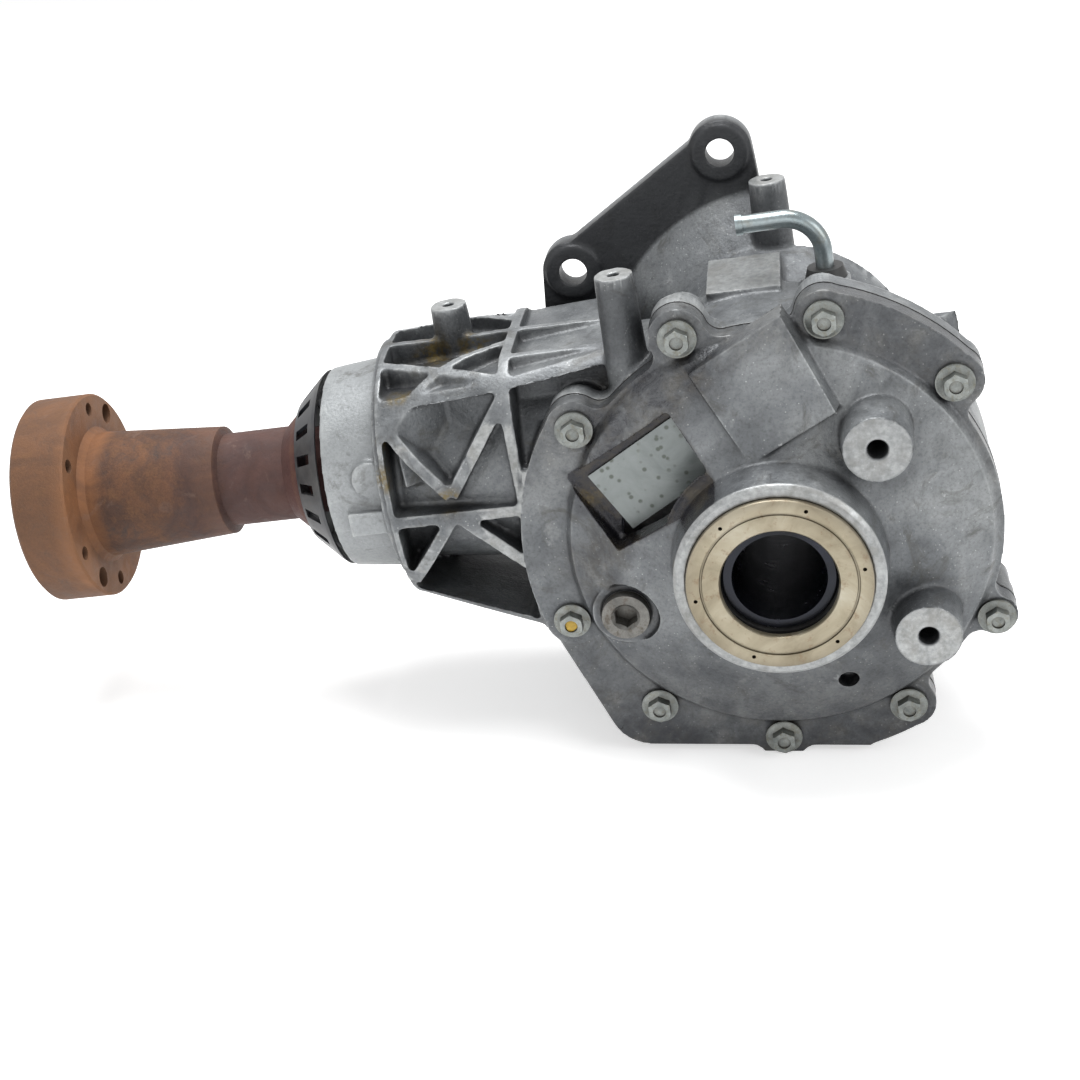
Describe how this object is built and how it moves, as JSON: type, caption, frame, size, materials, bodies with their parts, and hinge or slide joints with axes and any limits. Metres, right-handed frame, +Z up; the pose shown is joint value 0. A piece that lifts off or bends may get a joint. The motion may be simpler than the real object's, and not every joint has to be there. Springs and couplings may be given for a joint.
{
  "type": "transfer case",
  "caption": "Right-angle transfer case of a four-wheel-drive car: ribbed cast case, scalloped bolted side cover, hollow input shaft and flanged output.",
  "frame": {"origin": "on the axis of the hollow input shaft, where the plane through the output pinion axis crosses it", "axes": "Y along the hollow shaft, with the side cover towards -Y; +Z up, square to the flat foot; the output flange points towards -X, dipping 6.2 degrees"},
  "size_m": [0.4731, 0.2071, 0.2703],
  "materials": {
    "cast_aluminium": "cast",
    "zinc_plated_steel": "satin",
    "machined_steel": "ground",
    "rusted_steel": "rusted",
    "hardened_steel": "ground",
    "seal_metal": "satin",
    "rubber": "matt",
    "black_plastic": "satin",
    "gasket_material": "matt",
    "label_metal": "satin",
    "plug_steel": "dull",
    "soft_metal": "satin"
  },
  "bodies": {
    "case": {"main_case": "cast_aluminium", "side_cover": "cast_aluminium", "cover_gasket": "gasket_material", "cover_bolt_1": "zinc_plated_steel", "cover_bolt_2": "zinc_plated_steel", "cover_bolt_3": "zinc_plated_steel", "cover_bolt_4": "zinc_plated_steel", "cover_bolt_5": "zinc_plated_steel", "cover_bolt_6": "zinc_plated_steel", "cover_bolt_7": "zinc_plated_steel", "cover_bolt_8": "zinc_plated_steel", "cover_bolt_9": "zinc_plated_steel", "front_seal_case": "seal_metal", "front_seal_lip": "rubber", "front_shim": "hardened_steel", "filler_plug": "plug_steel", "filler_plug_washer": "soft_metal", "label_plate": "label_metal", "rear_seal": "rubber", "pilot_oring": "rubber", "front_bearing_cup": "hardened_steel", "rear_bearing_cup": "hardened_steel", "head_bearing_cup": "hardened_steel", "tail_bearing_cup": "hardened_steel", "pinion_seal": "rubber", "breather_pipe": "zinc_plated_steel", "breather_grommet": "rubber"},
    "input_shaft": {"hollow_shaft": "machined_steel", "gear_carrier": "machined_steel", "ring_gear": "hardened_steel", "front_bearing_cone": "hardened_steel", "rear_bearing_cone": "hardened_steel"},
    "pinion_line": {"pinion_gear": "hardened_steel", "head_bearing_cone": "hardened_steel", "tail_bearing_cone": "hardened_steel", "crush_spacer": "machined_steel", "pinion_nut": "machined_steel", "output_flange": "rusted_steel", "dust_shield": "black_plastic"},
    "front_cage": {"front_bearing_rollers": "hardened_steel"},
    "rear_cage": {"rear_bearing_rollers": "hardened_steel"},
    "head_cage": {"head_bearing_rollers": "hardened_steel"},
    "tail_cage": {"tail_bearing_rollers": "hardened_steel"}
  },
  "joints": [
    {"name": "input_shaft_spin", "type": "hinge", "parent": "case", "child": "input_shaft", "pos_m": [0, 0, 0], "axis": [0, 1, 0], "continuous": true},
    {"name": "pinion_spin", "type": "hinge", "parent": "case", "child": "pinion_line", "pos_m": [-0.00313, 0, 0.02883], "axis": [-0.9942, 0, -0.108], "continuous": true},
    {"name": "front_cage_spin", "type": "hinge", "parent": "case", "child": "front_cage", "pos_m": [0, -0.0886, 0], "axis": [0, 1, 0], "continuous": true},
    {"name": "rear_cage_spin", "type": "hinge", "parent": "case", "child": "rear_cage", "pos_m": [0, 0.0375, 0], "axis": [0, 1, 0], "continuous": true},
    {"name": "head_cage_spin", "type": "hinge", "parent": "case", "child": "head_cage", "pos_m": [-0.10553, 0, 0.01771], "axis": [-0.9942, 0, -0.108], "continuous": true},
    {"name": "tail_cage_spin", "type": "hinge", "parent": "case", "child": "tail_cage", "pos_m": [-0.18606, 0, 0.00896], "axis": [-0.9942, 0, -0.108], "continuous": true}
  ],
  "couplings": [
    {"joint": "pinion_spin", "follows": "input_shaft_spin", "ratio": 2.5833},
    {"joint": "front_cage_spin", "follows": "input_shaft_spin", "ratio": 0.4501},
    {"joint": "rear_cage_spin", "follows": "input_shaft_spin", "ratio": 0.4501},
    {"joint": "head_cage_spin", "follows": "input_shaft_spin", "ratio": 1.0729},
    {"joint": "tail_cage_spin", "follows": "input_shaft_spin", "ratio": 1.0614}
  ]
}
